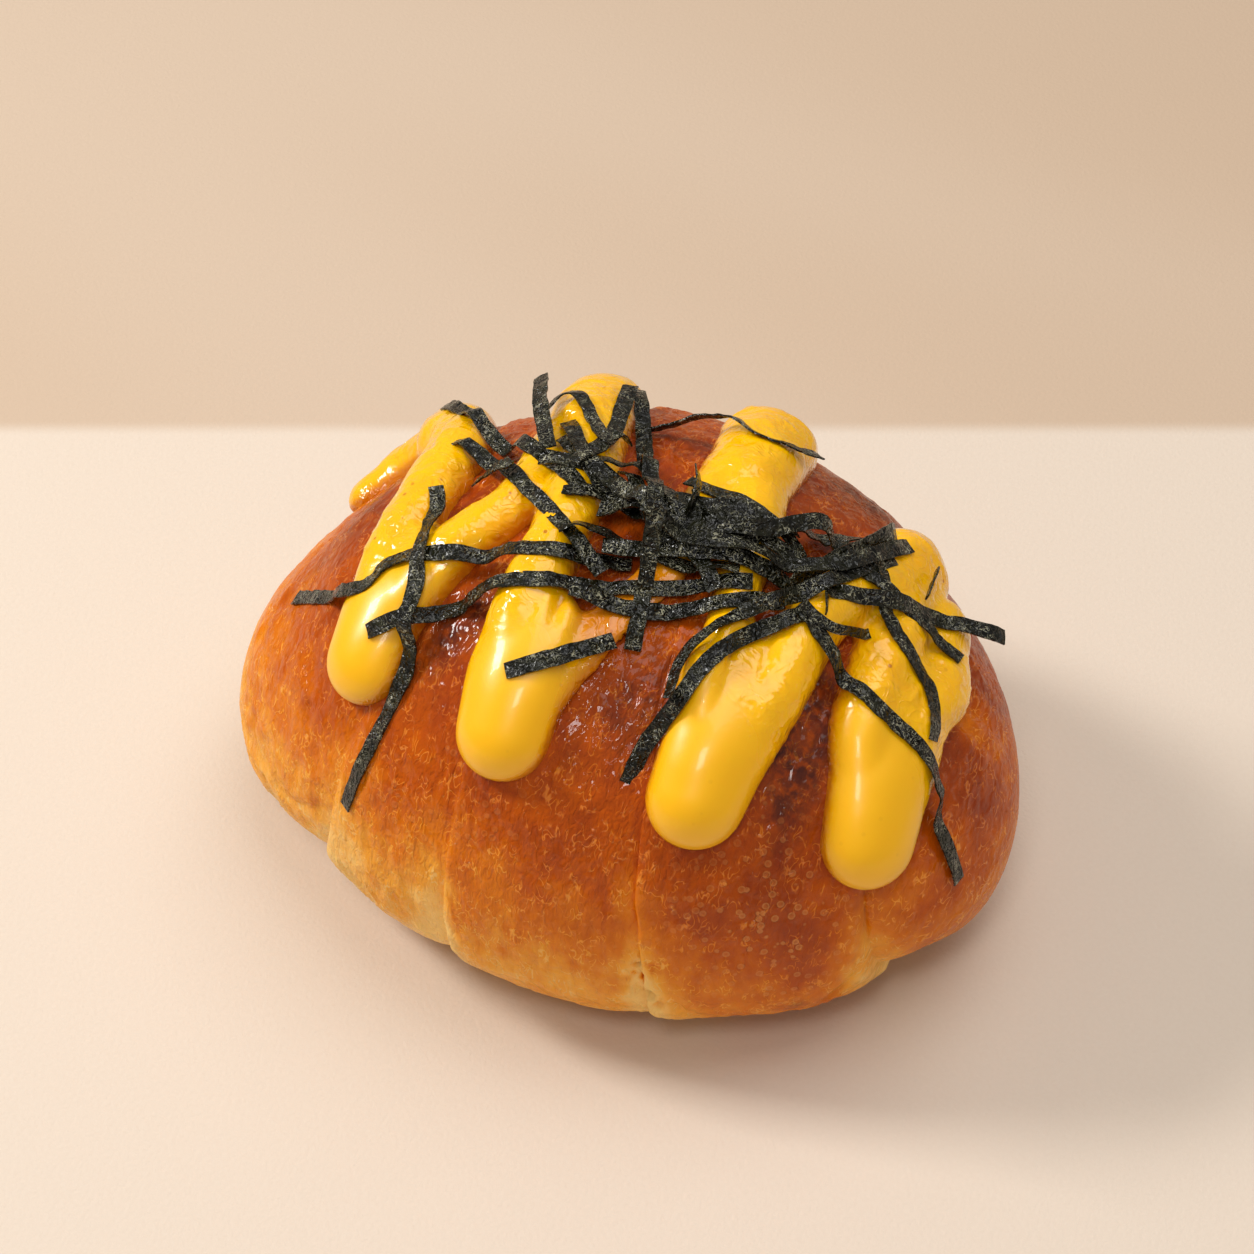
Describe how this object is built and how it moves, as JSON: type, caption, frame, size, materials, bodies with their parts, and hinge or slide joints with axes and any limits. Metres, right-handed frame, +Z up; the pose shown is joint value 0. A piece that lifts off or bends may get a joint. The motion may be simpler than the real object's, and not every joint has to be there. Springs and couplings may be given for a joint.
{
  "type": "salt bread roll",
  "caption": "Plump rolled bread bun with a browned crust, topped with a piped zigzag of yellow cream and a heap of shredded nori.",
  "frame": {"origin": "on the table under the middle of the roll, at the centre of the bounding box's bottom face", "axes": "+X along the roll's length, towards its right end seen from the front; -Y towards its front, the side with the cream's long tips; +Z up"},
  "size_m": [0.123, 0.096, 0.0755],
  "materials": {
    "crust": "egg-washed baked crust, pale gold at the base and red-brown on top",
    "cream": "glossy smooth yellow cream",
    "nori": "crinkled dried seaweed, near black with a green cast"
  },
  "bodies": {
    "root": {"bread_roll": "crust", "cream_zigzag": "cream", "nori_heap": "nori", "nori_strip_front": "nori"}
  },
  "joints": []
}
